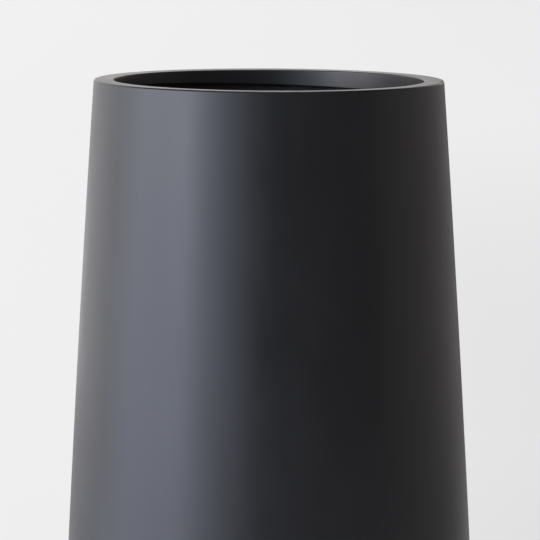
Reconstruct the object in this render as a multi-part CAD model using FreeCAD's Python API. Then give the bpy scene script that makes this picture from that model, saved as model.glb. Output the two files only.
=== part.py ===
import FreeCAD
import Part
import math
import os

# Tall round planter: a moulded glass-fibre shell that widens from its mouth to its foot, a
# separately moulded base bonded inside the foot, a rubber stopper in the drain hole and rubber
# pads underneath. Millimetres. The origin is on the floor under the centre of the base, +Z is
# up, and every round piece is turned about the Z axis.

# overall form
overall_height = 813.0  # floor to the top of the rim
mouth_outer_diameter = 356.0  # across the outside of the rim
foot_outer_diameter = 448.0  # across the outside of the wall at its lower end
side_bow = 2.8  # how far the side swells beyond a straight taper, halfway up

# shell and its return lip
wall_thickness = 4.5
lip_width = 20.0  # flat top of the rim, from its outside edge to the mouth
lip_depth = 15.5  # height of the upright inner face of the rim
rim_edge_radius = 1.8  # softened edges of the rim
channel_corner_radius = 2.5  # inside corners behind the lip
foot_edge_radius = 1.5  # outer edge at the foot

# filler cast behind the lip
filler_recess = 1.5  # how far the filler stops above the lip's lower edge

# base moulding
base_thickness = 5.0
base_bend_radius = 6.0  # on the concave side of each bend
flange_height = 45.0  # upright flange that is bonded to the wall
base_recess = 16.0  # how far the middle stands above the foot ring
riser_lean = 6.0  # how far the riser leans in over its height

# glass tape over the inside joint, and paste bead in the outside joint
tape_thickness = 2.2
tape_lap_on_flange = 26.0
tape_lap_on_wall = 36.0
tape_slope = 9.0  # height over which the tape runs from the flange out to the wall
tape_feather = 0.8  # thickness left at the tape's feathered ends
bead_recess = 1.0  # how far the bead stops short of the foot's lower edge
bead_top_angle = 25.0  # where the bead ends on the base's bend, degrees below level

# drain hole and rubber stopper
drain_hole_diameter = 26.0
drain_seat_depth = 1.5  # shallow step in the floor that takes the stopper's head
stopper_head_diameter = 40.0
stopper_head_height = 4.0
stopper_dome = 1.6  # crown of the head above its rim
stopper_taper = 1.2  # how much narrower the stem's radius is at its lower end
stopper_tail = 6.0  # length of stem below the base
stopper_core_diameter = 13.0  # blind hollow that lets the stem squeeze
stopper_core_roof = 5.0  # rubber left between the hollow and the head's underside
grip_radius = 11.0  # half-round finger tab on the head
grip_thickness = 5.0
grip_edge_radius = 1.4

# rubber pads
pad_count = 4
pad_diameter = 24.0
pad_thickness = 3.0
pad_draft = 1.0  # how much narrower the pad's radius is at the floor
pad_margin = 3.0  # flat of the foot ring left beyond a pad, on each side
pad_first_angle = 45.0  # degrees from +X

# clearances
bond_gap = 0.3  # glue line between bonded mouldings
stopper_gap = 0.4  # stem to hole, and head to the rim of its seat
stopper_seat_gap = 0.3  # head to the floor of its seat

# sizes that follow
mouth_outer_radius = mouth_outer_diameter / 2
mouth_radius = mouth_outer_radius - lip_width
foot_outer_radius = foot_outer_diameter / 2
foot_height = pad_thickness
lip_underside = overall_height - lip_depth
flange_top = foot_height + flange_height
floor_underside = foot_height + base_recess
seat_height = floor_underside + base_thickness - drain_seat_depth
bend_outer_radius = base_bend_radius + base_thickness
foot_ring_flat = pad_diameter + 2 * pad_margin
drain_radius = drain_hole_diameter / 2
head_radius = stopper_head_diameter / 2
head_underside = seat_height + stopper_seat_gap
head_rim_top = head_underside + stopper_head_height

# directions and planes
axis_point = FreeCAD.Vector(0, 0, 0)
up = FreeCAD.Vector(0, 0, 1)
along_y = FreeCAD.Vector(0, 1, 0)
section_plane = Part.Plane(axis_point, along_y)
full_turn = 360
same_place = 0.001  # two points closer than this are one


def at(radius, height):
    """A point of a cross-section, which is drawn in the XZ plane."""
    return FreeCAD.Vector(radius, 0, height)


def wall_arc():
    """Centre (radius, height) and radius of the gentle arc that the wall's outside follows."""
    run = foot_outer_radius - mouth_outer_radius
    rise = overall_height - foot_height
    chord = math.hypot(run, rise)
    arc_radius = (chord**2 / 4 + side_bow**2) / (2 * side_bow)
    to_centre = arc_radius - side_bow
    middle_radius = (foot_outer_radius + mouth_outer_radius) / 2
    middle_height = (overall_height + foot_height) / 2
    centre_radius = middle_radius - to_centre * rise / chord
    centre_height = middle_height - to_centre * run / chord
    return centre_radius, centre_height, arc_radius


def wall_radius(height, inset=0.0):
    """Radius from the axis of the wall's outside at a height, or of a face inset from it."""
    centre_radius, centre_height, arc_radius = wall_arc()
    reach = arc_radius - inset
    return centre_radius + math.sqrt(reach**2 - (height - centre_height) ** 2)


def on_wall(height, inset=0.0):
    """Point of the section at a height, on the wall's outside or inset from it."""
    return at(wall_radius(height, inset), height)


def wall_curve(low, high, inset=0.0):
    """Edge along the wall from one height to another, inset from the outside."""
    points = [on_wall(height, inset) for height in (low, (low + high) / 2, high)]
    return Part.Arc(*points).toShape()


def line(start, end):
    return Part.LineSegment(start, end).toShape()


def lines(points):
    """Straight edges from each point to the next."""
    return [line(start, end) for start, end in zip(points, points[1:])]


def touches(edge, point):
    """Whether an edge starts or ends at a point."""
    return any(vertex.Point.distanceToPoint(point) < same_place for vertex in edge.Vertexes)


def rounded(edges, bends):
    """The same edges with an arc at each listed corner, given as (corner, radius) pairs."""
    edges = list(edges)
    for corner, radius in bends:
        first, second = [i for i, edge in enumerate(edges) if touches(edge, corner)]
        fillet = Part.ChFi2d.FilletAlgo(edges[first], edges[second], section_plane)
        fillet.perform(radius)
        arc, edges[first], edges[second] = fillet.result(corner)
        edges.append(arc)
    return edges


def wire(edges):
    return Part.Wire(Part.sortEdges(edges)[0])


def turned(edges):
    """Solid of revolution about the Z axis, from the edges round a cross-section."""
    return Part.Face(wire(edges)).revolve(axis_point, up, full_turn)


def end_circles(solid, axis):
    """The round edges of a disc's two flat faces, nearest first along the axis."""
    circles = [edge for edge in solid.Edges if isinstance(edge.Curve, Part.Circle)]
    return sorted(circles, key=lambda edge: edge.Curve.Center.dot(axis))


def planter_shell():
    """Wall and rim in one moulding of even thickness: up the side, across the rim, down the lip."""
    channel_top = overall_height - wall_thickness
    lip_back = mouth_radius + wall_thickness
    rim_outside = on_wall(overall_height)
    rim_inside = at(mouth_radius, overall_height)
    channel_inside = at(lip_back, channel_top)
    channel_outside = on_wall(channel_top, wall_thickness)
    foot_outside = on_wall(foot_height)
    edges = lines(
        [
            rim_outside,
            rim_inside,
            at(mouth_radius, lip_underside),
            at(lip_back, lip_underside),
            channel_inside,
            channel_outside,
        ]
    )
    edges.append(wall_curve(foot_height, channel_top, wall_thickness))
    edges.append(line(on_wall(foot_height, wall_thickness), foot_outside))
    edges.append(wall_curve(foot_height, overall_height))
    bends = [
        (rim_outside, rim_edge_radius),
        (rim_inside, rim_edge_radius),
        (channel_inside, channel_corner_radius),
        (channel_outside, channel_corner_radius),
        (foot_outside, foot_edge_radius),
    ]
    return turned(rounded(edges, bends))


def rim_filler():
    """Ring of lightweight filler that backs the lip, in the channel between lip and wall."""
    inset = wall_thickness + bond_gap
    top = overall_height - inset
    bottom = lip_underside + filler_recess
    inner = mouth_radius + inset
    edges = lines([on_wall(bottom, inset), at(inner, bottom), at(inner, top), on_wall(top, inset)])
    edges.append(wall_curve(bottom, top, inset))
    corner_radius = channel_corner_radius - bond_gap
    bends = [(corner, corner_radius) for corner in (at(inner, top), on_wall(top, inset))]
    return turned(rounded(edges, bends))


def flange_outside(height):
    """Radius of the base flange's outer face, which follows the inside of the wall."""
    return wall_radius(height, wall_thickness + bond_gap)


def foot_bend_centre():
    """Centre (radius, height) of the bend between the flange and the foot ring."""
    slope = (flange_outside(foot_height) - flange_outside(flange_top)) / flange_height
    reach = bend_outer_radius * (slope + math.hypot(1, slope))
    return flange_outside(foot_height) - reach, foot_height + bend_outer_radius


def foot_ring_span():
    """Outer and inner radius of the flat of the foot ring, between its two bends."""
    outer = foot_bend_centre()[0]
    return outer, outer - foot_ring_flat


def riser_foot():
    """Radius at which the lines of the foot ring and the riser would cross."""
    turn = math.atan2(base_recess, riser_lean)
    return foot_ring_span()[1] - bend_outer_radius * math.tan(turn / 2)


def base_pan():
    """Base moulding of even thickness: flange, foot ring, riser and raised floor with its drain."""
    foot_corner = at(flange_outside(foot_height), foot_height)
    ring_corner = at(riser_foot(), foot_height)
    floor_corner = at(riser_foot() - riser_lean, floor_underside)
    flange_end = at(flange_outside(flange_top), flange_top)
    drain_end = at(drain_radius, floor_underside)
    edges = lines([flange_end, foot_corner, ring_corner, floor_corner, drain_end])
    bends = [
        (foot_corner, bend_outer_radius),
        (ring_corner, bend_outer_radius),
        (floor_corner, base_bend_radius),
    ]
    underside = wire(rounded(edges, bends))
    laminate = underside.makeOffset2D(-base_thickness, 0, True, True)
    pan = laminate.revolve(axis_point, up, full_turn)
    seat = Part.makeCylinder(head_radius + stopper_gap, drain_seat_depth, at(0, seat_height))
    return pan.cut(seat)


def inside_tape():
    """Strip of glass tape over the top of the flange and up the wall, feathered at both ends."""
    wall_inset = wall_thickness + bond_gap
    flange_inset = wall_inset + base_thickness + bond_gap
    low = flange_top - tape_lap_on_flange
    land = flange_top + bond_gap
    slope_top = land + tape_slope
    high = slope_top + tape_lap_on_wall
    edges = lines(
        [
            on_wall(high, wall_inset),
            on_wall(high, wall_inset + tape_feather),
            on_wall(slope_top, wall_inset + tape_thickness),
            on_wall(land, flange_inset + tape_thickness),
            on_wall(low + tape_slope, flange_inset + tape_thickness),
            on_wall(low, flange_inset + tape_feather),
            on_wall(low, flange_inset),
            on_wall(land, flange_inset),
            on_wall(land, wall_inset),
        ]
    )
    edges.append(wall_curve(land, high, wall_inset))
    return turned(edges)


def foot_bead():
    """Bead of bonding paste in the groove under the foot, between the wall and the base's bend."""
    wall_inset = wall_thickness + bond_gap
    bend_radius, bend_height = foot_bend_centre()
    reach = bend_outer_radius + bond_gap
    low = foot_height + bead_recess
    top_angle = math.radians(bead_top_angle)
    low_angle = math.asin((bend_height - low) / reach)
    along_bend = []
    for angle in (top_angle, (top_angle + low_angle) / 2, low_angle):
        radius = bend_radius + reach * math.cos(angle)
        along_bend.append(at(radius, bend_height - reach * math.sin(angle)))
    top = along_bend[0].z
    edges = [
        line(on_wall(top, wall_inset), along_bend[0]),
        Part.Arc(*along_bend).toShape(),
        line(along_bend[-1], on_wall(low, wall_inset)),
        wall_curve(low, top, wall_inset),
    ]
    return turned(edges)


def stopper_body():
    """Domed head and tapered stem of the stopper."""
    stem_radius = drain_radius - stopper_gap
    stem_foot = floor_underside - stopper_tail
    dome_edge = at(head_radius, head_rim_top)
    dome_top = at(0, head_rim_top + stopper_dome)
    dome_sphere = (head_radius**2 + stopper_dome**2) / (2 * stopper_dome)
    half_way = head_radius / 2
    dome_middle = at(half_way, dome_top.z - dome_sphere + math.sqrt(dome_sphere**2 - half_way**2))
    edges = lines(
        [
            dome_top,
            at(0, stem_foot),
            at(stem_radius - stopper_taper, stem_foot),
            at(stem_radius, head_underside),
            at(head_radius, head_underside),
            dome_edge,
        ]
    )
    edges.append(Part.Arc(dome_edge, dome_middle, dome_top).toShape())
    return turned(edges)


def finger_tab():
    """Half-round tab that stands on the stopper's head."""
    face_centre = at(0, head_rim_top) - along_y * (grip_thickness / 2)
    disc = Part.makeCylinder(grip_radius, grip_thickness, face_centre, along_y)
    disc = disc.makeFillet(grip_edge_radius, end_circles(disc, along_y))
    corner = face_centre - FreeCAD.Vector(grip_radius, 0, 0)
    return disc.common(Part.makeBox(2 * grip_radius, grip_thickness, grip_radius, corner))


def drain_stopper():
    """Rubber stopper: head on the floor, hollow stem through the hole, finger tab on top."""
    solid = stopper_body().fuse(finger_tab()).removeSplitter()
    core_foot = floor_underside - stopper_tail
    core_height = head_underside - stopper_core_roof - core_foot
    core = Part.makeCylinder(stopper_core_diameter / 2, core_height, at(0, core_foot))
    return solid.cut(core)


def foot_pad(index):
    """One of the rubber discs stuck under the foot ring, evenly spaced round it."""
    reach = sum(foot_ring_span()) / 2
    angle = math.radians(pad_first_angle + index * full_turn / pad_count)
    centre = FreeCAD.Vector(reach * math.cos(angle), reach * math.sin(angle), 0)
    return Part.makeCone(pad_diameter / 2 - pad_draft, pad_diameter / 2, pad_thickness, centre)


def save(name, shape):
    """Writes one piece to its own file and prints its size."""
    solid = shape.Solids[0]
    box = solid.optimalBoundingBox(False)
    size = f"{box.XLength:7.1f} x {box.YLength:6.1f} x {box.ZLength:6.1f} mm from z {box.ZMin:6.1f}"
    state = f"{len(shape.Solids)} solid, valid {shape.isValid()}"
    print(f"{name:14s}{size}  {solid.Volume / 1000:7.1f} cm3  {state}")
    solid.exportStep(f"parts/{name}.step")


os.makedirs("parts", exist_ok=True)
save("planter_shell", planter_shell())
save("rim_filler", rim_filler())
save("base_pan", base_pan())
save("inside_tape", inside_tape())
save("foot_bead", foot_bead())
save("drain_stopper", drain_stopper())
for pad in range(pad_count):
    save(f"foot_pad_{pad + 1}", foot_pad(pad))
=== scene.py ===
import bmesh
import bpy
import math
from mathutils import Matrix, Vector


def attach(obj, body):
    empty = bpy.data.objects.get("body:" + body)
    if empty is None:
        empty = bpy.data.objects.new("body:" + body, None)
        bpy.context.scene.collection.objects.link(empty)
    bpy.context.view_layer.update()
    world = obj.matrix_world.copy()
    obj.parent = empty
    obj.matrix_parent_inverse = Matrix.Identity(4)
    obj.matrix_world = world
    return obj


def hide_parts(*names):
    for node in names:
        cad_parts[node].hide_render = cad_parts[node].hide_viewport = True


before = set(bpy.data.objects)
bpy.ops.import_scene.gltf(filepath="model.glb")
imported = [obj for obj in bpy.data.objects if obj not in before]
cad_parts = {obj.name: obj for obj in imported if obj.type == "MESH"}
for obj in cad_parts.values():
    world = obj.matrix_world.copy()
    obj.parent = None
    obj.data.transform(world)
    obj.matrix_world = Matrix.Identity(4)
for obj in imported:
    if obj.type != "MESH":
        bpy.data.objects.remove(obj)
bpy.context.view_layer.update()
print("frame loaded:", len(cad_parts), "CAD nodes")

mm = 0.001
pictureSize = 540  # pixels, square
resinGloss = 1.5  # refractive index, the same for every finish
patchBlend = (0.3, 0.7)  # noise values between which one patch of a finish blends into the next


# node trees: sums on a socket add Math nodes, anything else comes from makeNode

class Tap:
    def __init__(self, tree, socket):
        self.tree = tree
        self.socket = socket

    def maths(self, operation, *values):
        sockets = dict(enumerate((self, *values)))
        return makeNode(self.tree, "ShaderNodeMath", {"operation": operation}, sockets)

    def __add__(self, other):
        return self.maths("ADD", other)

    __radd__ = __add__

    def __mul__(self, other):
        return self.maths("MULTIPLY", other)

    __rmul__ = __mul__

    def __sub__(self, other):
        return self.maths("SUBTRACT", other)

    def __rsub__(self, other):
        sockets = {0: other, 1: self}
        return makeNode(self.tree, "ShaderNodeMath", {"operation": "SUBTRACT"}, sockets)

    def __truediv__(self, other):
        return self.maths("DIVIDE", other)

    def __rtruediv__(self, other):
        sockets = {0: other, 1: self}
        return makeNode(self.tree, "ShaderNodeMath", {"operation": "DIVIDE"}, sockets)

    def __mod__(self, other):
        return self.maths("FLOORED_MODULO", other)

    def __gt__(self, other):
        return self.maths("GREATER_THAN", other)

    def __lt__(self, other):
        return self.maths("LESS_THAN", other)

    def floor(self):
        return self.maths("FLOOR")

    def sine(self):
        return self.maths("SINE")

    def cosine(self):
        return self.maths("COSINE")

    def size(self):
        return self.maths("ABSOLUTE")

    # 0 below low, 1 above high, with a soft step between
    def ramp(self, low, high):
        soft = {"interpolation_type": "SMOOTHSTEP"}
        sockets = {"Value": self, "From Min": low, "From Max": high}
        return makeNode(self.tree, "ShaderNodeMapRange", soft, sockets)


def pickSocket(sockets, key):
    if isinstance(key, int):
        return sockets[key]
    return next(s for s in sockets if s.name == key and s.enabled)


def makeNode(tree, kind, settings=None, sockets=None, out=0):
    node = tree.nodes.new(kind)
    for name, value in (settings or {}).items():
        setattr(node, name, value)
    for key, value in (sockets or {}).items():
        socket = pickSocket(node.inputs, key)
        if isinstance(value, Tap):
            tree.links.new(value.socket, socket)
        else:
            socket.default_value = value
    return Tap(tree, pickSocket(node.outputs, out)) if len(node.outputs) else None


# finishes

def newFinish(name):
    material = bpy.data.materials.new(name)
    material.use_nodes = True
    material.node_tree.nodes.clear()
    return material, material.node_tree


def place(tree):
    return makeNode(tree, "ShaderNodeTexCoord", out="Object")


# noise of a given grain size, drawn out by stretch along axes that turn has rotated
def grain(
    tree,
    where,
    size,
    detail=3.0,
    roughness=0.55,
    stretch=(1, 1, 1),
    turn=(0, 0, 0),
    shift=(0, 0, 0),
):
    mapping = {"Vector": where, "Rotation": turn, "Scale": stretch, "Location": shift}
    placed = makeNode(tree, "ShaderNodeMapping", {"vector_type": "TEXTURE"}, mapping)
    sockets = {"Vector": placed, "Scale": 1 / size, "Detail": detail, "Roughness": roughness}
    return makeNode(tree, "ShaderNodeTexNoise", {"noise_dimensions": "3D"}, sockets)


def split(tree, vector):
    sockets = {"Vector": vector}
    return [makeNode(tree, "ShaderNodeSeparateXYZ", None, sockets, out=axis) for axis in "XYZ"]


def blendColours(tree, share, first, second):
    sockets = {"Factor": share, "A": (*first, 1) if isinstance(first, tuple) else first}
    sockets["B"] = (*second, 1) if isinstance(second, tuple) else second
    return makeNode(tree, "ShaderNodeMix", {"data_type": "RGBA"}, sockets, out="Result")


def relief(tree, height, depth, under=None):
    sockets = {"Height": height, "Distance": depth, "Strength": 1.0}
    if under is not None:
        sockets["Normal"] = under
    return makeNode(tree, "ShaderNodeBump", None, sockets)


def coat(tree, colour, roughness, normal):
    sockets = {"Base Color": colour, "Roughness": roughness, "Normal": normal, "IOR": resinGloss}
    shader = makeNode(tree, "ShaderNodeBsdfPrincipled", None, sockets)
    makeNode(tree, "ShaderNodeOutputMaterial", None, {"Surface": shader})


satinLook = {
    "colour": (0.0105, 0.0108, 0.0115),
    "cloudColour": (0.0135, 0.0138, 0.0145),
    "cloudSize": 0.09,
    "cloudStretch": (1, 1, 1.7),
    "scuffSize": 0.012,
    "roughness": 0.33,
    "roughnessSwing": 0.05,
    "peelSize": 0.0035,
    "peelDepth": 0.00001,
    "fineSize": 0.0009,
    "fineDepth": 0.000004,
    "dustColour": (0.30, 0.29, 0.27),
    "dustSpacing": 0.045,
    "dustSize": 0.010,  # share of the spacing
    "dustBare": 0.55,  # share of the places that stay clean
    "dustRoughness": 0.3,  # added to the roughness on a speck
}


# satin charcoal finish on the outside, faintly cloudy and sparsely dusted
def satinFinish(look):
    material, tree = newFinish("satin_charcoal")
    where = place(tree)
    cloud = grain(tree, where, look["cloudSize"], 4.0, 0.6, look["cloudStretch"]).ramp(*patchBlend)
    scuff = grain(tree, where, look["scuffSize"], 5.0, 0.65)
    ground = blendColours(tree, cloud, look["colour"], look["cloudColour"])
    specks = {"Vector": where, "Scale": 1 / look["dustSpacing"], "Randomness": 1.0}
    nearest = makeNode(tree, "ShaderNodeTexVoronoi", {"feature": "F1"}, specks, out="Distance")
    chance = makeNode(tree, "ShaderNodeTexVoronoi", {"feature": "F1"}, specks, out="Color")
    chosen = makeNode(tree, "ShaderNodeSeparateColor", None, {"Color": chance}, out="Red")
    dust = (nearest < chosen * look["dustSize"]) * (chosen > look["dustBare"])
    colour = blendColours(tree, dust, ground, look["dustColour"])
    swing = (cloud - 0.5) * look["roughnessSwing"] + (scuff - 0.5) * look["roughnessSwing"]
    roughness = swing + look["roughness"] + dust * look["dustRoughness"]
    peel = grain(tree, where, look["peelSize"], 2.0, 0.5)
    fine = grain(tree, where, look["fineSize"], 2.0, 0.5)
    normal = relief(tree, fine, look["fineDepth"], relief(tree, peel, look["peelDepth"]))
    coat(tree, colour, roughness, normal)
    return material


laminateLook = {
    "colour": (0.052, 0.052, 0.053),
    "strandColour": (0.105, 0.105, 0.101),
    "roughness": 0.46,
    "strandLength": 0.030,
    "strandWidth": 0.0013,
    "strandDepth": 0.00025,
    "strandCut": (0.56, 0.68),  # noise values between which a strand stands out of the resin
    "strandRoughness": 0.12,
    "turns": (0.2, 0.55, 1.0, 1.4, 1.8, 2.2, 2.6, 3.0),  # which way each layer of strands lies
    "shift": (1.7, 0.9, 2.3),  # how far each layer is moved from the one below
    "lean": 0.05,
    "rolledRadius": 0.19,
    "wallFrom": (0.045, 0.050),  # heights between which the mat goes from lying flat to the wall
    "thinSize": 0.03,  # size of the patches where the resin lies thin
    "thinBlend": (0.35, 0.65),
    "thinRoughness": 0.06,  # taken off the roughness there
    "drowned": 0.35,  # how much of a strand still shows where the resin lies thick
    "lumpSize": 0.018,
    "lumpDepth": 0.0006,
}


# bare laminate: chopped strands lying every way under dark resin
def laminateFinish(look):
    material, tree = newFinish("raw_laminate")
    where = place(tree)
    x, y, z = split(tree, where)
    around = y.maths("ARCTAN2", x) * look["rolledRadius"]
    outwards = (x * x + y * y).maths("SQRT")
    rolled = makeNode(tree, "ShaderNodeCombineXYZ", None, {"X": around, "Y": z, "Z": outwards})
    lining = {"Factor": z.ramp(*look["wallFrom"]), "A": where, "B": rolled}
    mat = makeNode(tree, "ShaderNodeMix", {"data_type": "VECTOR"}, lining, out="Result")
    strands = None
    stretch = (look["strandLength"] / look["strandWidth"], 1, 1)
    for i, turn in enumerate(look["turns"]):
        turned = (0, look["lean"] * (-1) ** i, turn)
        shift = tuple(i * part for part in look["shift"])
        strand = grain(tree, mat, look["strandWidth"], 1.0, 0.4, stretch, turned, shift)
        strand = strand.ramp(*look["strandCut"])
        strands = strand if strands is None else strands.maths("MAXIMUM", strand)
    thin = grain(tree, where, look["thinSize"], 3.0, 0.5).ramp(*look["thinBlend"])
    shown = strands * (look["drowned"] + (1 - look["drowned"]) * thin)
    colour = blendColours(tree, shown, look["colour"], look["strandColour"])
    roughness = look["roughness"] + shown * look["strandRoughness"] - thin * look["thinRoughness"]
    lumps = relief(tree, grain(tree, where, look["lumpSize"], 3.0, 0.5), look["lumpDepth"])
    normal = relief(tree, shown, look["strandDepth"], lumps)
    coat(tree, colour, roughness, normal)
    return material


tapeLook = {
    "colour": (0.026, 0.026, 0.027),
    "rovingColour": (0.085, 0.086, 0.082),
    "roughness": 0.42,
    "rovingWidth": 0.0026,
    "rovingsRound": 516,
    "rovingRoughness": 0.15,
    "weaveDepth": 0.0005,
    "weaveShown": (0.35, 1.0),  # heights in the weave between which a roving comes out of the resin
    "waver": 1.2,  # how far the rovings wander, in widths
    "waverSize": 0.04,
    "thinSize": 0.02,  # size of the patches where the resin lies thin
    "drowned": 0.4,  # how much of a roving still shows where the resin lies thick
    "threadSize": 0.0004,
    "threadDepth": 0.15,  # share of the weave's depth
}


# woven glass tape, wetted out with dark resin
def tapeFinish(look):
    material, tree = newFinish("glass_tape_weave")
    where = place(tree)
    across, deep, high = split(tree, where)
    waver = (grain(tree, where, look["waverSize"], 2.0) - 0.5) * look["waver"]
    weft = deep.maths("ARCTAN2", across) * (look["rovingsRound"] / (2 * math.pi)) + waver
    warp = high / look["rovingWidth"] + waver
    over = (weft.floor() + warp.floor()) % 2
    weftRound = (weft * math.pi).sine().size()
    warpRound = (warp * math.pi).sine().size()
    height = over * weftRound + (1 - over) * warpRound
    thin = grain(tree, where, look["thinSize"], 3.0).ramp(*patchBlend)
    shown = height.ramp(*look["weaveShown"]) * (look["drowned"] + (1 - look["drowned"]) * thin)
    colour = blendColours(tree, shown, look["colour"], look["rovingColour"])
    threads = grain(tree, where, look["threadSize"], 1.0)
    normal = relief(tree, height + threads * look["threadDepth"], look["weaveDepth"])
    coat(tree, colour, look["roughness"] + shown * look["rovingRoughness"], normal)
    return material


pasteLook = {
    "colour": (0.055, 0.056, 0.058),
    "pale": (0.085, 0.085, 0.084),
    "roughness": 0.62,
    "lumpSize": 0.006,
    "lumpDepth": 0.0004,
}
fillerLook = {
    "colour": (0.016, 0.016, 0.017),
    "pale": (0.030, 0.029, 0.028),
    "roughness": 0.78,
    "lumpSize": 0.003,
    "lumpDepth": 0.0003,
}
pinholes = {"closeness": 0.6, "edge": (0.10, 0.16), "depth": 0.5}  # for paste and filler alike


# cast or trowelled paste with lumps, smears and pinholes
def pasteFinish(name, look):
    material, tree = newFinish(name)
    where = place(tree)
    smear = grain(tree, where, look["lumpSize"] * 4, 4.0, 0.6, (1, 1, 0.4)).ramp(*patchBlend)
    lumps = grain(tree, where, look["lumpSize"], 4.0, 0.6)
    cells = {"Vector": where, "Scale": pinholes["closeness"] / look["lumpSize"], "Randomness": 1.0}
    nearest = makeNode(tree, "ShaderNodeTexVoronoi", {"feature": "F1"}, cells, out="Distance")
    pores = nearest.ramp(*pinholes["edge"])
    colour = blendColours(tree, smear * pores, look["colour"], look["pale"])
    normal = relief(tree, lumps + pores * pinholes["depth"], look["lumpDepth"])
    coat(tree, colour, look["roughness"] + (lumps - 0.5) * 0.2, normal)
    return material


stopperLook = {
    "colour": (0.016, 0.016, 0.0165),
    "pale": (0.034, 0.033, 0.032),
    "roughness": 0.58,
    "grainSize": 0.0006,
}
padLook = {
    "colour": (0.024, 0.023, 0.023),
    "pale": (0.060, 0.058, 0.055),
    "roughness": 0.70,
    "grainSize": 0.0011,
}
bloomLook = {"grains": 14, "blend": (0.42, 0.75), "roughness": 0.12, "grainDepth": 0.08}  # both


# moulded rubber with a fine grain and a greyish bloom
def rubberFinish(name, look):
    material, tree = newFinish(name)
    where = place(tree)
    bloomSize = look["grainSize"] * bloomLook["grains"]
    bloom = grain(tree, where, bloomSize, 4.0, 0.6).ramp(*bloomLook["blend"])
    fine = grain(tree, where, look["grainSize"], 3.0, 0.6)
    colour = blendColours(tree, bloom, look["colour"], look["pale"])
    normal = relief(tree, fine, look["grainSize"] * bloomLook["grainDepth"])
    coat(tree, colour, look["roughness"] + bloom * bloomLook["roughness"], normal)
    return material


finishes = {
    "satin": satinFinish(satinLook),
    "laminate": laminateFinish(laminateLook),
    "tape": tapeFinish(tapeLook),
    "paste": pasteFinish("bonding_paste", pasteLook),
    "filler": pasteFinish("lip_filler", fillerLook),
    "stopper": rubberFinish("stopper_rubber", stopperLook),
    "pad": rubberFinish("pad_rubber", padLook),
}
print("finishes made:", len(finishes))


# cross-sections: corners are (radius, height, bend radius) and run once round the section

fewestBendSteps = 4
bendStep = 11  # degrees, at most
besideBend = 0.6 * mm  # where the extra point beside a bend goes
besideShare = 0.2  # of a short run
closestPoints = 0.08 * mm


def bendCorner(before, corner, after, bend):
    inward = (before - corner).normalized()
    onward = (after - corner).normalized()
    half = inward.angle(onward) / 2
    reach = bend / math.tan(half)
    middle = corner + (inward + onward).normalized() * (bend / math.sin(half))
    start = corner + inward * reach - middle
    end = corner + onward * reach - middle
    sweep = math.pi - 2 * half
    turn = sweep if start.x * end.y - start.y * end.x > 0 else -sweep
    steps = max(fewestBendSteps, math.ceil(math.degrees(sweep) / bendStep))
    points = []
    for i in range(steps + 1):
        a = turn * i / steps
        swungX = start.x * math.cos(a) - start.y * math.sin(a)
        swungY = start.x * math.sin(a) + start.y * math.cos(a)
        points.append(middle + Vector((swungX, swungY)))
    return points


# the section as closely spaced points, each with its corner's number, and an extra point beside
# each bend to keep the faces next to it flat
def drawSection(corners, stepLength, closed=True):
    places = [Vector((c[0], c[1])) for c in corners]
    runs = []
    for i, corner in enumerate(corners):
        bend = corner[2]
        ended = not closed and i in (0, len(corners) - 1)
        if bend > 0 and not ended:
            runs.append(bendCorner(places[i - 1], places[i], places[(i + 1) % len(places)], bend))
        else:
            runs.append([places[i]])
    points, owners = [], []
    for i, run in enumerate(runs):
        points += run
        owners += [i] * len(run)
        if not closed and i == len(runs) - 1:
            break
        start, end = run[-1], runs[(i + 1) % len(runs)][0]
        length = (end - start).length
        beside = min(besideBend, length * besideShare)
        marks = [beside] if len(run) > 1 else []
        if len(runs[(i + 1) % len(runs)]) > 1:
            marks.append(length - beside)
        pieces = max(1, math.ceil(length / stepLength))
        marks += [length * k / pieces for k in range(1, pieces)]
        for mark in sorted(marks):
            if not any(abs(mark - other) < closestPoints for other in marks if other < mark):
                points.append(start.lerp(end, mark / length))
                owners.append(i)
    return points, owners


# corners moved sideways by a thickness, for the other face of an even moulding
def offsetCorners(corners, thickness):
    moved = []
    for i, corner in enumerate(corners):
        here = Vector(corner[:2])
        sides = []
        if i > 0:
            sides.append((here - Vector(corners[i - 1][:2])).normalized())
        if i < len(corners) - 1:
            sides.append((Vector(corners[i + 1][:2]) - here).normalized())
        normals = [Vector((-s.y, s.x)) for s in sides]
        across = sum(normals, Vector((0, 0))).normalized()
        moved.append(here + across * (thickness / across.dot(normals[0])))
    return moved


def sectionObject(name, points, marks):
    mesh = bpy.data.meshes.new(name)
    ring = [(i, i + 1) for i in range(len(points) - 1)]
    mesh.from_pydata([(p.x, 0, p.y) for p in points], ring, [])
    for title, values in marks.items():
        attribute = mesh.attributes.new(title, "FLOAT", "POINT")
        attribute.data.foreach_set("value", values)
    made = bpy.data.objects.new(name, mesh)
    bpy.context.scene.collection.objects.link(made)
    return made


# the turning tree: sweeps a section round the axis, with the unevenness of a moulding

turningInputs = (
    ("Section Closed", "NodeSocketInt", 1),
    ("Steps Around", "NodeSocketInt", 360),
    ("Centre", "NodeSocketVector", (0, 0, 0)),
    ("Ripple", "NodeSocketFloat", 0.0),
    ("Ripple Size", "NodeSocketFloat", 0.1),
    ("Trim Lean", "NodeSocketFloat", 0.0),
    ("Trim Wander", "NodeSocketFloat", 0.0),
    ("Rim Tilt", "NodeSocketFloat", 0.0),
    ("Rim Sag", "NodeSocketFloat", 0.0),
    ("Seed", "NodeSocketFloat", 0.0),
    ("Finish", "NodeSocketMaterial", None),
    ("Bare Finish", "NodeSocketMaterial", None),
)


endGuard = 0.00001  # keeps a whole number from being rounded down to the one below it
mergeWithin = 0.02 * mm
trimSwell = 4  # how quickly the trim's unevenness changes on the way round
sagMean, sagSides, sagAcross = 0.75, 0.25, 0.3  # the rim's dip: even, left and right, cornerwise
sectionMarks = ("bare", "trim", "tilt", "sag", "ripple")


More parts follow.
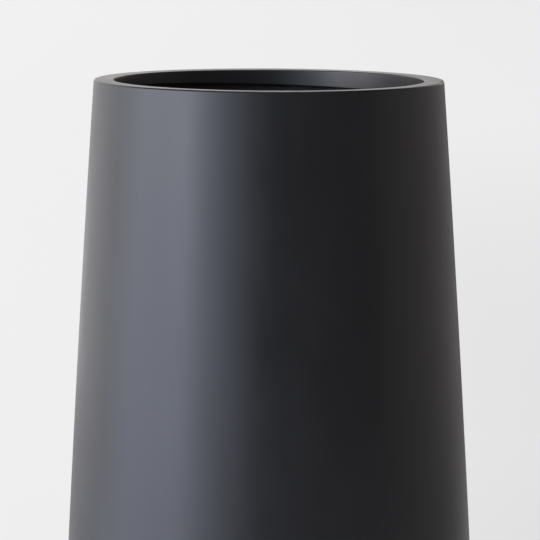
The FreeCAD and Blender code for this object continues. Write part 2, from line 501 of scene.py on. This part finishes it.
def makeTurningTree():
    tree = bpy.data.node_groups.new("turned_moulding", "GeometryNodeTree")
    tree.interface.new_socket("Section", in_out="INPUT", socket_type="NodeSocketGeometry")
    for title, kind, value in turningInputs:
        socket = tree.interface.new_socket(title, in_out="INPUT", socket_type=kind)
        if value is not None:
            socket.default_value = value
    tree.interface.new_socket("Moulding", in_out="OUTPUT", socket_type="NodeSocketGeometry")
    source = tree.nodes.new("NodeGroupInput")

    def given(title):
        return Tap(tree, pickSocket(source.outputs, title))

    def node(kind, settings=None, sockets=None, out=0):
        return makeNode(tree, kind, settings, sockets, out)

    section = given("Section")
    sizes = {"Geometry": section}
    points = node("GeometryNodeAttributeDomainSize", {"component": "MESH"}, sizes, "Point Count")
    rows = points + given("Section Closed")
    steps = given("Steps Around")
    grid = node("GeometryNodeMeshGrid", None, {"Vertices X": steps + 1, "Vertices Y": rows}, "Mesh")
    index = node("GeometryNodeInputIndex")
    column = (index / rows + endGuard).floor()
    row = (index - column * rows) % points

    def fromSection(kind, field, at):
        sockets = {"Geometry": section, "Value": field, "Index": at}
        return node("GeometryNodeSampleIndex", {"data_type": kind, "domain": "POINT"}, sockets)

    def named(title):
        kind = {"data_type": "FLOAT"}
        return node("GeometryNodeInputNamedAttribute", kind, {"Name": title}, "Attribute")

    def mark(title, at):
        return fromSection("FLOAT", named(title), at)

    drawn = fromSection("FLOAT_VECTOR", node("GeometryNodeInputPosition"), row)
    radius = node("ShaderNodeSeparateXYZ", None, {"Vector": drawn}, "X")
    height = node("ShaderNodeSeparateXYZ", None, {"Vector": drawn}, "Z")
    angle = column / steps * (2 * math.pi)
    east = angle.cosine()
    north = angle.sine()
    plain = {"X": radius * east, "Y": radius * north, "Z": height}
    plain = node("ShaderNodeCombineXYZ", None, plain)
    noise = {"Vector": plain, "W": given("Seed"), "Scale": 1 / given("Ripple Size"), "Detail": 1.0}
    noise = node("ShaderNodeTexNoise", {"noise_dimensions": "4D"}, noise)
    ripple = (noise - 0.5) * 2 * given("Ripple")
    circle = {"X": east * trimSwell, "Y": north * trimSwell, "Z": given("Seed")}
    circle = node("ShaderNodeCombineXYZ", None, circle)
    noise = {"Vector": circle, "Scale": 1.0, "Detail": 3.0}
    wander = (node("ShaderNodeTexNoise", {"noise_dimensions": "3D"}, noise) - 0.5) * 2
    trim = mark("trim", row) * (given("Trim Lean") * east + given("Trim Wander") * wander)
    reach = radius + ripple * mark("ripple", row)
    sagRound = sagMean + (north * north - east * east) * sagSides - north * east * sagAcross
    sag = mark("sag", row) * given("Rim Sag") * sagRound
    lift = height - trim - sag - mark("tilt", row) * given("Rim Tilt") * east * radius
    spot = node("ShaderNodeCombineXYZ", None, {"X": reach * east, "Y": reach * north, "Z": lift})
    spot = node("ShaderNodeVectorMath", {"operation": "ADD"}, {0: spot, 1: given("Centre")})
    shaped = node("GeometryNodeSetPosition", None, {"Geometry": grid, "Position": spot})

    faceRows = rows - 1
    faceRow = index - (index / faceRows + endGuard).floor() * faceRows
    bare = mark("bare", faceRow % points)
    keep = {"Geometry": shaped, "Name": "bare", "Value": bare}
    shaped = node("GeometryNodeStoreNamedAttribute", {"data_type": "FLOAT", "domain": "FACE"}, keep)
    merging = {"Geometry": shaped, "Distance": mergeWithin}
    joined = node("GeometryNodeMergeByDistance", None, merging)
    smooth = node("GeometryNodeSetShadeSmooth", None, {"Geometry": joined, "Shade Smooth": True})
    real = node("GeometryNodeRealizeInstances", None, {"Geometry": smooth})
    coated = node("GeometryNodeSetMaterial", None, {"Geometry": real, "Material": given("Finish")})
    rest = {"Geometry": coated, "Selection": named("bare") > 0.5, "Material": given("Bare Finish")}
    coated = node("GeometryNodeSetMaterial", None, rest)
    makeNode(tree, "NodeGroupOutput", None, {"Moulding": coated})
    return tree


turningTree = makeTurningTree()


# turns the modifier's result into the object's own mesh, closed and facing outwards
def settle(made):
    bpy.context.view_layer.update()
    graph = bpy.context.evaluated_depsgraph_get()
    mesh = bpy.data.meshes.new_from_object(made.evaluated_get(graph))
    made.modifiers.clear()
    made.data = mesh
    shape = bmesh.new()
    shape.from_mesh(mesh)
    bmesh.ops.recalc_face_normals(shape, faces=shape.faces)
    if shape.calc_volume(signed=True) < 0:
        bmesh.ops.reverse_faces(shape, faces=shape.faces)
    openEdges = sum(1 for edge in shape.edges if not edge.is_manifold)
    shape.to_mesh(mesh)
    shape.free()
    faces = sum(len(p.vertices) - 2 for p in mesh.polygons)
    print(f"{made.name}: {faces} triangles, {openEdges} open edges")
    return made


def turnSection(name, points, marks, **values):
    count = len(points)
    made = sectionObject(name, points, {t: marks.get(t, [0.0] * count) for t in sectionMarks})
    modifier = made.modifiers.new("turning", "NODES")
    modifier.node_group = turningTree
    listed = turningTree.interface.items_tree
    sockets = {s.name: s.identifier for s in listed if s.in_out == "INPUT"}
    for title, value in values.items():
        modifier[sockets[title.replace("_", " ")]] = value
    return settle(made)


def fit(made, body, slot, *nodes):
    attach(made, body)
    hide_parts(*nodes)


# sizes shared by the mouldings, as in the CAD part

planter = {
    "height": 813 * mm,
    "mouthOutside": 178 * mm,
    "footOutside": 224 * mm,
    "footHeight": 3 * mm,
    "sideBow": 2.8 * mm,
    "wall": 4.5 * mm,
    "lipWidth": 20 * mm,
    "lipDepth": 15.5 * mm,
    "rimEdge": 2.3 * mm,
    "channelCorner": 2.5 * mm,
    "footEdge": 1.5 * mm,
    "mouthEdge": 1.2 * mm,
    "rimSag": 0.5 * mm,  # the rim dips a little towards the mouth, least of all at the sides
    "cutEdge": 0.5 * mm,  # slight rounding of the sanded lip edge
    "lipDraft": math.radians(4.0),  # the lip leans in a little towards its lower edge
    "rimTilt": math.tan(math.radians(0.3)),  # the rim stands a little higher at the left
    "lipLean": 4.2 * mm,  # the lip was trimmed deeper at the right
    "lipWander": 0.5 * mm,
    "bondGap": 0.3 * mm,
    "tiltFrom": 0.45,  # height from which the rim's tilt begins
}


def wallRadius(height, inset=0.0):
    p = planter
    run = p["footOutside"] - p["mouthOutside"]
    rise = p["height"] - p["footHeight"]
    chord = math.hypot(run, rise)
    arcRadius = (chord ** 2 / 4 + p["sideBow"] ** 2) / (2 * p["sideBow"])
    toCentre = arcRadius - p["sideBow"]
    centreRadius = (p["footOutside"] + p["mouthOutside"]) / 2 - toCentre * rise / chord
    centreHeight = (p["height"] + p["footHeight"]) / 2 - toCentre * run / chord
    return centreRadius + math.sqrt((arcRadius - inset) ** 2 - (height - centreHeight) ** 2)


def wallCorners(low, high, inset, step):
    count = max(1, round(abs(high - low) / step))
    heights = [low + (high - low) * i / count for i in range(1, count)]
    return [(wallRadius(z, inset), z, 0.0) for z in heights]


def clampShare(value, low, high):
    share = min(1.0, max(0.0, (value - low) / (high - low)))
    return share * share * (3 - 2 * share)


def tiltShares(points):
    return [clampShare(q.y, planter["tiltFrom"], planter["height"]) for q in points]


# how far in along the rim a point lies, from its outer edge to the mouth
def sagShares(points):
    p = planter
    low = p["height"] - 2 * p["lipDepth"]
    inward = [(p["mouthOutside"] - q.x) / p["lipWidth"] if q.y > low else 0.0 for q in points]
    return [min(1.0, max(0.0, share)) for share in inward]


# planter shell

shellLook = {
    "stepsAround": 384,
    "wallStep": 20 * mm,
    "sectionStep": 30 * mm,
    "ripple": 0.10 * mm,
    "rippleSize": 0.11,
    "calmFoot": 0.1,  # height over which the ripple comes in from the foot
    "calmRim": 0.06,  # depth over which it dies away under the rim
    "trimFrom": 10 * mm,  # how far above the lip's edge the uneven trim begins
    "trimFull": 9 * mm,  # and how far below that it is full
}


def makeShell(look):
    p = planter
    top = p["height"]
    mouth = p["mouthOutside"] - p["lipWidth"]
    lipFoot = top - p["lipDepth"]
    lipIn = mouth - p["lipDepth"] * math.tan(p["lipDraft"])
    channelTop = top - p["wall"]
    corners = [
        (wallRadius(top), top, p["rimEdge"]),
        (mouth, top, p["mouthEdge"]),
        (lipIn, lipFoot, p["cutEdge"]),
        (lipIn + p["wall"], lipFoot, p["cutEdge"]),
        (mouth + p["wall"], channelTop, p["channelCorner"]),
        (wallRadius(channelTop, p["wall"]), channelTop, p["channelCorner"]),
    ]
    corners += wallCorners(channelTop, p["footHeight"], p["wall"], look["wallStep"])
    lipBack = 3  # the corners from here to the foot are on the bare side
    footInside = len(corners)
    corners.append((wallRadius(p["footHeight"], p["wall"]), p["footHeight"], p["cutEdge"]))
    corners.append((wallRadius(p["footHeight"]), p["footHeight"], p["footEdge"]))
    corners += wallCorners(p["footHeight"], top, 0.0, look["wallStep"])
    points, owners = drawSection(corners, look["sectionStep"])
    trimTop = lipFoot + look["trimFrom"]
    lip = mouth + p["wall"] + mm
    marks = {
        "bare": [1.0 if lipBack <= owner <= footInside else 0.0 for owner in owners],
        "tilt": tiltShares(points),
        "sag": sagShares(points),
        "trim": [
            clampShare(trimTop - q.y, 0, look["trimFull"]) if q.x < lip else 0.0 for q in points
        ],
        "ripple": [
            min(
                clampShare(q.y, p["footHeight"], look["calmFoot"]),
                clampShare(top - q.y, 0.0, look["calmRim"]),
            )
            for q in points
        ],
    }
    return turnSection(
        "planter_shell_moulding", points, marks, Steps_Around=look["stepsAround"],
        Ripple=look["ripple"], Ripple_Size=look["rippleSize"], Trim_Lean=p["lipLean"],
        Trim_Wander=p["lipWander"], Rim_Tilt=p["rimTilt"], Rim_Sag=p["rimSag"], Seed=3.0,
        Finish=finishes["satin"], Bare_Finish=finishes["laminate"],
    )


fit(makeShell(shellLook), "planter", "moulded_shell", "planter_shell")


# filler behind the lip

fillerShape = {
    "stepsAround": 384,
    "sectionStep": 2.5 * mm,
    "recess": 1.5 * mm,
    "edge": 0.4 * mm,
    "trimBand": 8.5 * mm,  # height over which it follows the lip's uneven trim, without folding
}


def makeFiller(look):
    p = planter
    inset = p["wall"] + p["bondGap"]
    top = p["height"] - inset
    bottom = p["height"] - p["lipDepth"] + look["recess"]
    inner = p["mouthOutside"] - p["lipWidth"] + inset
    bend = p["channelCorner"] - p["bondGap"]
    corners = [
        (wallRadius(bottom, inset), bottom, look["edge"]),
        (inner, bottom, look["edge"]),
        (inner, top, bend),
        (wallRadius(top, inset), top, bend),
    ]
    band = look["trimBand"]
    points, _ = drawSection(corners, look["sectionStep"])
    marks = {
        "tilt": tiltShares(points),
        "sag": sagShares(points),
        "trim": [clampShare(bottom + band - q.y, 0, band) for q in points],
    }
    return turnSection(
        "rim_filler_ring", points, marks, Steps_Around=look["stepsAround"], Trim_Lean=p["lipLean"],
        Trim_Wander=p["lipWander"], Rim_Tilt=p["rimTilt"], Rim_Sag=p["rimSag"], Seed=3.0,
        Finish=finishes["filler"], Bare_Finish=finishes["filler"],
    )


fit(makeFiller(fillerShape), "planter", "lip_filler", "rim_filler")


# base moulding

base = {
    "stepsAround": 288,
    "sectionStep": 9 * mm,
    "thickness": 5 * mm,
    "bend": 6 * mm,
    "flangeHeight": 45 * mm,
    "recess": 16 * mm,
    "riserLean": 6 * mm,
    "padDiameter": 24 * mm,
    "padMargin": 3 * mm,
    "padThickness": 3 * mm,
    "padDraft": 1 * mm,
    "padEdge": 0.7 * mm,
    "drain": 26 * mm,
    "seatDepth": 1.5 * mm,
    "seatRadius": 20.4 * mm,
    "ripple": 0.25 * mm,
    "rippleSize": 0.05,
    "rippleFrom": (0.03, 0.06),  # radii between which the ripple comes in round the drain
    "calmRing": (0.20, 0.21),  # radii of the foot's corner, which stays true
    "flangeEdge": 0.6 * mm,
    "drainEdge": 0.5 * mm,
    "seatEdge": 0.4 * mm,
    "seatCorner": 0.3 * mm,
}


def flangeOutside(height):
    return wallRadius(height, planter["wall"] + planter["bondGap"])


def footBend():
    low = planter["footHeight"]
    slope = (flangeOutside(low) - flangeOutside(low + base["flangeHeight"])) / base["flangeHeight"]
    outerBend = base["bend"] + base["thickness"]
    return flangeOutside(low) - outerBend * (slope + math.hypot(1, slope)), low + outerBend


footFlat = base["padDiameter"] + 2 * base["padMargin"]
padReach = footBend()[0] - footFlat / 2


def makeBase(look):
    low = planter["footHeight"]
    outerBend = look["bend"] + look["thickness"]
    lean = math.atan2(look["recess"], look["riserLean"])
    riserFoot = footBend()[0] - footFlat - outerBend * math.tan(lean / 2)
    floor = low + look["recess"]
    underside = [
        (flangeOutside(low + look["flangeHeight"]), low + look["flangeHeight"], 0.0),
        (flangeOutside(low), low, outerBend),
        (riserFoot, low, outerBend),
        (riserFoot - look["riserLean"], floor, look["bend"]),
        (look["drain"] / 2, floor, 0.0),
    ]
    topSide = offsetCorners(underside, -look["thickness"])
    bends = [look["flangeEdge"], look["bend"], look["bend"], outerBend]
    seat = floor + look["thickness"] - look["seatDepth"]
    corners = [
        (underside[0][0], underside[0][1], look["flangeEdge"]),
        *underside[1:4],
        (look["drain"] / 2, floor, look["drainEdge"]),
        (look["drain"] / 2, seat, look["seatEdge"]),
        (look["seatRadius"], seat, look["seatCorner"]),
        (look["seatRadius"], floor + look["thickness"], look["seatCorner"]),
    ]
    corners += [(q.x, q.y, bend) for q, bend in reversed(list(zip(topSide[:4], bends)))]
    points, _ = drawSection(corners, look["sectionStep"])
    rippled = []
    for q in points:
        nearDrain = clampShare(q.x, *look["rippleFrom"])
        nearCorner = clampShare(look["calmRing"][0], q.x, look["calmRing"][1])
        rippled.append(nearDrain * nearCorner)
    return turnSection(
        "base_pan_moulding", points, {"ripple": rippled}, Steps_Around=look["stepsAround"],
        Ripple=look["ripple"], Ripple_Size=look["rippleSize"], Seed=8.0,
        Finish=finishes["laminate"], Bare_Finish=finishes["laminate"],
    )


fit(makeBase(base), "planter", "base_laminate", "base_pan")


# glass tape over the inside joint

tape = {
    "stepsAround": 288,
    "sectionStep": 5 * mm,
    "thickness": 2.2 * mm,
    "lapOnFlange": 26 * mm,
    "lapOnWall": 36 * mm,
    "slope": 9 * mm,
    "feather": 0.8 * mm,
    "wander": 0.9 * mm,
    "wanderBand": 6 * mm,  # how far in from each cut edge the wander reaches
    "wallEdge": 0.2 * mm,
    "innerEdge": 0.3 * mm,
    "slopeBend": 12 * mm,
    "lapBend": 8 * mm,
    "cornerBend": 0.1 * mm,
}


def makeTape(look):
    wallInset = planter["wall"] + planter["bondGap"]
    flangeInset = wallInset + base["thickness"] + planter["bondGap"]
    flangeTop = planter["footHeight"] + base["flangeHeight"]
    low = flangeTop - look["lapOnFlange"]
    land = flangeTop + planter["bondGap"]
    slopeTop = land + look["slope"]
    high = slopeTop + look["lapOnWall"]

    def onWall(z, inset, bend):
        return wallRadius(z, inset), z, bend

    corners = [
        onWall(high, wallInset, look["wallEdge"]),
        onWall(high, wallInset + look["feather"], look["innerEdge"]),
        onWall(slopeTop, wallInset + look["thickness"], look["slopeBend"]),
        onWall(land, flangeInset + look["thickness"], look["slopeBend"]),
        onWall(low + look["slope"], flangeInset + look["thickness"], look["lapBend"]),
        onWall(low, flangeInset + look["feather"], look["innerEdge"]),
        onWall(low, flangeInset, look["wallEdge"]),
        onWall(land, flangeInset, look["cornerBend"]),
        onWall(land, wallInset, look["cornerBend"]),
    ]
    band = look["wanderBand"]
    points, _ = drawSection(corners, look["sectionStep"])
    trim = [
        clampShare(q.y, high - band, high) - clampShare(low + band - q.y, 0, band) for q in points
    ]
    return turnSection(
        "inside_tape_band", points, {"trim": trim}, Steps_Around=look["stepsAround"],
        Trim_Wander=look["wander"], Seed=5.0, Finish=finishes["tape"], Bare_Finish=finishes["tape"],
    )


fit(makeTape(tape), "planter", "glass_tape", "inside_tape")


# paste bead in the groove under the foot

bead = {
    "stepsAround": 288,
    "sectionStep": 2 * mm,
    "recess": 1 * mm,
    "topAngle": 25,  # degrees up the foot's bend
    "arcSteps": 8,
    "hollow": 0.25 * mm,  # how far the paste has shrunk up in the middle
}


def makeBead(look):
    wallInset = planter["wall"] + planter["bondGap"]
    bendRadius, bendHeight = footBend()
    reach = base["bend"] + base["thickness"] + planter["bondGap"]
    low = planter["footHeight"] + look["recess"]
    topAngle = math.radians(look["topAngle"])
    lowAngle = math.asin((bendHeight - low) / reach)
    along = []
    for i in range(look["arcSteps"] + 1):
        a = topAngle + (lowAngle - topAngle) * i / look["arcSteps"]
        along.append((bendRadius + reach * math.cos(a), bendHeight - reach * math.sin(a), 0.0))
    top = along[0][1]
    foot = wallRadius(low, wallInset)
    hollow = ((along[-1][0] + foot) / 2, low + look["hollow"], 0.0)
    corners = [(wallRadius(top, wallInset), top, 0.0), *along, hollow, (foot, low, 0.0)]
    points, _ = drawSection(corners, look["sectionStep"])
    return turnSection(
        "foot_paste_bead", points, {}, Steps_Around=look["stepsAround"], Seed=2.0,
        Finish=finishes["paste"], Bare_Finish=finishes["paste"],
    )


fit(makeBead(bead), "planter", "bonding_paste", "foot_bead")


# rubber pads

pad = {
    "count": 4,
    "stepsAround": 64,
    "sectionStep": 3 * mm,
    "firstAngle": 45,  # degrees
    "topEdge": 0.25 * mm,
    "dishDepth": 0.5 * mm,  # shallow dish in the underside
    "dishMargin": 3 * mm,
    "dishSlope": 0.6 * mm,
    "dishEdge": 0.3 * mm,
}


def makePad(look, number):
    angle = math.radians(look["firstAngle"] + 360 / look["count"] * (number - 1))
    wide = base["padDiameter"] / 2
    narrow = wide - base["padDraft"]
    dish = narrow - look["dishMargin"]
    corners = [
        (0.0, base["padThickness"], 0.0),
        (wide, base["padThickness"], look["topEdge"]),
        (narrow, 0.0, base["padEdge"]),
        (dish, 0.0, look["dishEdge"]),
        (dish - look["dishSlope"], look["dishDepth"], look["dishEdge"]),
        (0.0, look["dishDepth"], 0.0),
    ]
    points, _ = drawSection(corners, look["sectionStep"], closed=False)
    return turnSection(
        f"foot_pad_rubber_{number}", points, {}, Section_Closed=0,
        Steps_Around=look["stepsAround"], Seed=float(number),
        Centre=(padReach * math.cos(angle), padReach * math.sin(angle), 0.0),
        Finish=finishes["pad"], Bare_Finish=finishes["pad"],
    )


for number in range(1, pad["count"] + 1):
    fit(makePad(pad, number), "planter", "pad_rubber", f"foot_pad_{number}")


# drain stopper

stopper = {
    "stepsAround": 128,
    "sectionStep": 2 * mm,
    "headUnderside": 22.8 * mm,
    "headRadius": 20 * mm,
    "headHeight": 4 * mm,
    "dome": 1.6 * mm,
    "stemRadius": 12.6 * mm,
    "taper": 1.2 * mm,
    "stemFoot": 13 * mm,
    "coreRadius": 6.5 * mm,
    "coreTop": 17.8 * mm,
    "tabRadius": 11 * mm,
    "tabThickness": 5 * mm,
    "tabEdge": 1.4 * mm,
    "tabSteps": 48,
    "tabSink": 1.5 * mm,  # how deep the tab goes into the head before they are joined
    "crownSteps": 10,
    "headEdge": 0.7 * mm,
    "headCorner": 0.5 * mm,
    "stemCorner": 0.3 * mm,
    "stemEdge": 0.7 * mm,
    "coreEdge": 0.5 * mm,
    "coreCorner": 0.8 * mm,
    "grain": 0.42 * mm,  # size of the cells that the joined rubber is made from
    "calmRounds": 4,
    "calmShare": 0.5,
}


def makeStopperBody(look):
    rim = look["headUnderside"] + look["headHeight"]
    sphere = (look["headRadius"] ** 2 + look["dome"] ** 2) / (2 * look["dome"])
    crown = []
    for i in range(look["crownSteps"]):
        r = look["headRadius"] * i / look["crownSteps"]
        crown.append((r, rim + look["dome"] - sphere + math.sqrt(sphere ** 2 - r ** 2), 0.0))
    corners = [
        *crown,
        (look["headRadius"], rim, look["headEdge"]),
        (look["headRadius"], look["headUnderside"], look["headCorner"]),
        (look["stemRadius"], look["headUnderside"], look["stemCorner"]),
        (look["stemRadius"] - look["taper"], look["stemFoot"], look["stemEdge"]),
        (look["coreRadius"], look["stemFoot"], look["coreEdge"]),
        (look["coreRadius"], look["coreTop"], look["coreCorner"]),
        (0.0, look["coreTop"], 0.0),
    ]
    points, _ = drawSection(corners, look["sectionStep"], closed=False)
    return turnSection(
        "drain_stopper_rubber", points, {}, Section_Closed=0, Steps_Around=look["stepsAround"],
        Seed=1.0, Finish=finishes["stopper"], Bare_Finish=finishes["stopper"],
    )


# half-round finger tab with softened edges, standing on the head
def makeTab(look):
    foot = look["headUnderside"] + look["headHeight"]
    mesh = bpy.data.meshes.new("finger_tab")
    shape = bmesh.new()
    half = look["tabThickness"] / 2
    outline = []
    for i in range(look["tabSteps"] + 1):
        a = math.pi * i / look["tabSteps"]
        outline.append((look["tabRadius"] * math.cos(a), foot + look["tabRadius"] * math.sin(a)))
    sunk = foot - look["tabSink"]
    outline += [(-look["tabRadius"], sunk), (look["tabRadius"], sunk)]
    face = shape.faces.new([shape.verts.new((x, -half, z)) for x, z in outline])
    pushed = bmesh.ops.extrude_face_region(shape, geom=[face])["geom"]
    moved = [v for v in pushed if isinstance(v, bmesh.types.BMVert)]
    bmesh.ops.translate(shape, verts=moved, vec=(0, 2 * half, 0))
    same = 0.0001 * mm
    rims = [e for e in shape.edges if abs(e.verts[0].co.y - e.verts[1].co.y) < same]
    # all but the sunk edge
    rims = [e for e in rims if max(v.co.z for v in e.verts) > sunk + 0.1 * mm]
    softened = {"offset": look["tabEdge"], "segments": 5, "profile": 0.5, "affect": "EDGES"}
    bmesh.ops.bevel(shape, geom=rims, **softened)
    bmesh.ops.recalc_face_normals(shape, faces=shape.faces)
    shape.to_mesh(mesh)
    shape.free()
    made = bpy.data.objects.new("finger_tab", mesh)
    bpy.context.scene.collection.objects.link(made)
    return made


def makeStopper(look):
    body = makeStopperBody(look)
    tab = makeTab(look)
    union = body.modifiers.new("tab", "BOOLEAN")
    union.operation = "UNION"
    union.solver = "EXACT"
    union.object = tab
    melt = body.modifiers.new("melt", "REMESH")
    melt.mode = "VOXEL"
    melt.voxel_size = look["grain"]
    calm = body.modifiers.new("calm", "SMOOTH")
    calm.factor = look["calmShare"]
    calm.iterations = look["calmRounds"]
    settle(body)
    bpy.data.objects.remove(tab)
    body.data.materials.clear()
    body.data.materials.append(finishes["stopper"])
    for polygon in body.data.polygons:
        polygon.use_smooth = True
        polygon.material_index = 0
    return body


fit(makeStopper(stopper), "stopper", "stopper_rubber", "drain_stopper")
print("pieces made")


# floor, light and camera

stageLook = {
    "floorRadius": 60.0,
    "floorSides": 96,
    "floorColour": (0.80, 0.80, 0.79),
    "worn": 0.985,  # brightness of the worn patches against the rest
    "wornSize": 0.6,
    "shade": 0.38,  # how much of the lamps' own pools and shadows the floor shows near the planter
    "shadeReach": (0.7, 2.4),  # metres from the planter over which they fade out
    # painted light falloff: the floor's glow is brighter at the left, where the lamps stand, and
    # dimmer at the right
    "glowLeft": (0.885, 0.880, 0.885),
    "glowRight": (0.835, 0.835, 0.845),
    "glowAcross": 2.4,
    "contact": (0.19, 0.27),  # metres from the axis over which the painted soft shadow at the foot fades
    "contactShadowDip": 0.7,
    "paintedShadowSide": 0.10,  # painted shadow of the planter: the floor is a little darker to its right, away from the lamps at the left
    "paintedShadowFrom": (-0.3, 0.6),  # metres to the right over which that comes in
    "darkBehind": (2, 10),  # metres behind the planter over which it goes again
    "glowDip": 0.70,  # how far the even brightness drops where the pools and shadows show
    "worldCamera": (0.86, 0.86, 0.87),  # what the camera sees past the floor
    "worldLight": (0.045, 0.042, 0.043),  # what lights the planter
}


def makeFloor(look):
    mesh = bpy.data.meshes.new("studio_floor")
    shape = bmesh.new()
    disc = {"segments": look["floorSides"], "radius": look["floorRadius"]}
    bmesh.ops.create_circle(shape, cap_ends=True, **disc)
    shape.to_mesh(mesh)
    shape.free()
    floor = bpy.data.objects.new("studio_floor", mesh)
    bpy.context.scene.collection.objects.link(floor)
    material, tree = newFinish("pale_floor")
    where = place(tree)
    worn = grain(tree, where, look["wornSize"], 3.0).ramp(*patchBlend)
    wornColour = tuple(c * look["worn"] for c in look["floorColour"])
    colour = blendColours(tree, worn, look["floorColour"], wornColour)
    plain = {"Roughness": 1.0, "Specular IOR Level": 0.0}
    matte = makeNode(tree, "ShaderNodeBsdfPrincipled", None, {**plain, "Base Color": colour})
    across, deep, _ = split(tree, where)
    away = (across * across + deep * deep).maths("SQRT")
    near = (1 - away.ramp(*look["shadeReach"])) * look["shade"]
    shade = blendColours(tree, near, (0, 0, 0), colour)
    # painted light falloff across the glow, brighter at the left
    side = across.ramp(-look["glowAcross"], look["glowAcross"])
    glow = blendColours(tree, side, look["glowLeft"], look["glowRight"])
    # painted shadow of the planter on the glow, to its right
    dark = (1 - deep.ramp(*look["darkBehind"])) * across.ramp(*look["paintedShadowFrom"]) * look["paintedShadowSide"]
    # painted soft shadow under the foot, added to the dip where the lamps' own pools and shadows
    # show
    dark = dark + near * look["glowDip"] + (1 - away.ramp(*look["contact"])) * look["contactShadowDip"]
    glow = blendColours(tree, dark, glow, (0, 0, 0))
    shown = {**plain, "Base Color": shade, "Emission Color": glow, "Emission Strength": 1.0}
    lit = makeNode(tree, "ShaderNodeBsdfPrincipled", None, shown)
    seen = makeNode(tree, "ShaderNodeLightPath", out="Is Camera Ray")
    both = makeNode(tree, "ShaderNodeMixShader", None, {0: seen, 1: matte, 2: lit})
    makeNode(tree, "ShaderNodeOutputMaterial", None, {"Surface": both})
    mesh.materials.append(material)


def makeWorld(look):
    world = bpy.data.worlds.new("studio")
    world.use_nodes = True
    tree = world.node_tree
    tree.nodes.clear()
    seen = makeNode(tree, "ShaderNodeLightPath", out="Is Camera Ray")
    tint = blendColours(tree, seen, look["worldLight"], look["worldCamera"])
    light = makeNode(tree, "ShaderNodeBackground", None, {"Color": tint, "Strength": 1.0})
    makeNode(tree, "ShaderNodeOutputWorld", None, {"Surface": light})
    bpy.context.scene.world = world


# soft panels: azimuth and spread are degrees as the planter sees them, measured from the camera
# towards the right; low and high are the edges above the floor; level is the brightness in red,
# green and blue
panels = {
    "away": 3.2,
    "rows": (  # name, azimuth, spread, low, high, level
        ("key_high", -67.5, 45, 0.90, 2.88, (4.85, 4.80, 5.30)),
        ("key_low", -67.5, 45, 0.02, 0.90, (3.00, 3.30, 4.10)),
        ("wide_left", -67.5, 75, 0.02, 2.88, (0.965, 1.078, 1.343)),
        ("front_left", -37.5, 45, 0.02, 2.88, (1.084, 1.151, 1.429)),
        ("front", -7, 20, 0.85, 2.40, (0.25, 0.25, 0.27)),
        ("side_left", -112.5, 45, 0.02, 2.88, (1.421, 1.404, 1.460)),
        ("back_left", -150, 30, 0.02, 2.88, (0.991, 0.987, 0.989)),
        ("back", -175, 25, 0.90, 2.88, (1.10, 1.07, 1.05)),
        ("back_right", 157.5, 15, 0.90, 2.88, (1.00, 0.93, 0.89)),
        ("fill_right", 120, 90, 0.02, 2.88, (0.320, 0.296, 0.298)),
        ("front_right", 45, 70, 0.02, 2.40, (0.13, 0.125, 0.125)),
    ),
    "overhead": {"height": 3.6, "size": 1.5, "level": (2.20, 2.10, 2.10)},
    "bounce": {  # light that comes back from the floor at the left
        "azimuth": -72,
        "near": 0.7,
        "far": 3.1,
        "width": 1.9,
        "lift": 20 * mm,
        "level": (1.12, 1.21, 1.60),
    },
}


# turn is the lean from lying face down, then the way round
def makePanel(name, width, height, level, spot, turn):
    lamp = bpy.data.lights.new(name, "AREA")
    lamp.shape = "RECTANGLE"
    lamp.size = width
    lamp.size_y = height
    brightest = max(level)
    lamp.color = [part / brightest for part in level]
    lamp.energy = brightest * math.pi * width * height
    holder = bpy.data.objects.new(name, lamp)
    holder.location = spot
    holder.rotation_euler = (turn[0], 0, turn[1])
    holder.visible_camera = False
    bpy.context.scene.collection.objects.link(holder)


def outward(azimuth, away, height):
    return Vector((away * math.sin(azimuth), -away * math.cos(azimuth), height))


def makePanels(look):
    for name, azimuth, spread, low, high, level in look["rows"]:
        a = math.radians(azimuth)
        width = 2 * look["away"] * math.tan(math.radians(spread / 2))
        spot = outward(a, look["away"], (low + high) / 2)
        makePanel(name, width, high - low, level, spot, (math.pi / 2, a))
    above = look["overhead"]
    spot = Vector((0, 0, above["height"]))
    makePanel("overhead", above["size"], above["size"], above["level"], spot, (0, 0))
    below = look["bounce"]
    a = math.radians(below["azimuth"])
    spot = outward(a, (below["near"] + below["far"]) / 2, below["lift"])
    length = below["far"] - below["near"]
    makePanel("floor_bounce", below["width"], length, below["level"], spot, (math.pi, a))


camera = {
    "away": 3.0,
    "height": 1.013,
    "down": 7.515,  # degrees
    "focalPixels": 2949.5,
    "axisLeft": 1.0,  # pixels that the planter's axis stands left of the middle
    "sensor": 36,  # millimetres
    "seesTo": 200,
}


def makeCamera(look):
    data = bpy.data.cameras.new("camera")
    data.sensor_width = look["sensor"]
    data.lens = look["sensor"] * look["focalPixels"] / pictureSize
    data.clip_end = look["seesTo"]
    holder = bpy.data.objects.new("camera", data)
    holder.location = (0, -look["away"], look["height"])
    aside = math.degrees(math.atan(look["axisLeft"] / look["focalPixels"]))
    holder.rotation_euler = (math.radians(90 - look["down"]), 0, math.radians(-aside))
    bpy.context.scene.collection.objects.link(holder)
    bpy.context.scene.camera = holder


makeFloor(stageLook)
makeWorld(stageLook)
makePanels(panels)
makeCamera(camera)
bpy.context.scene.view_settings.view_transform = "Standard"
print("stage, lights and camera made")

bpy.context.view_layer.update()
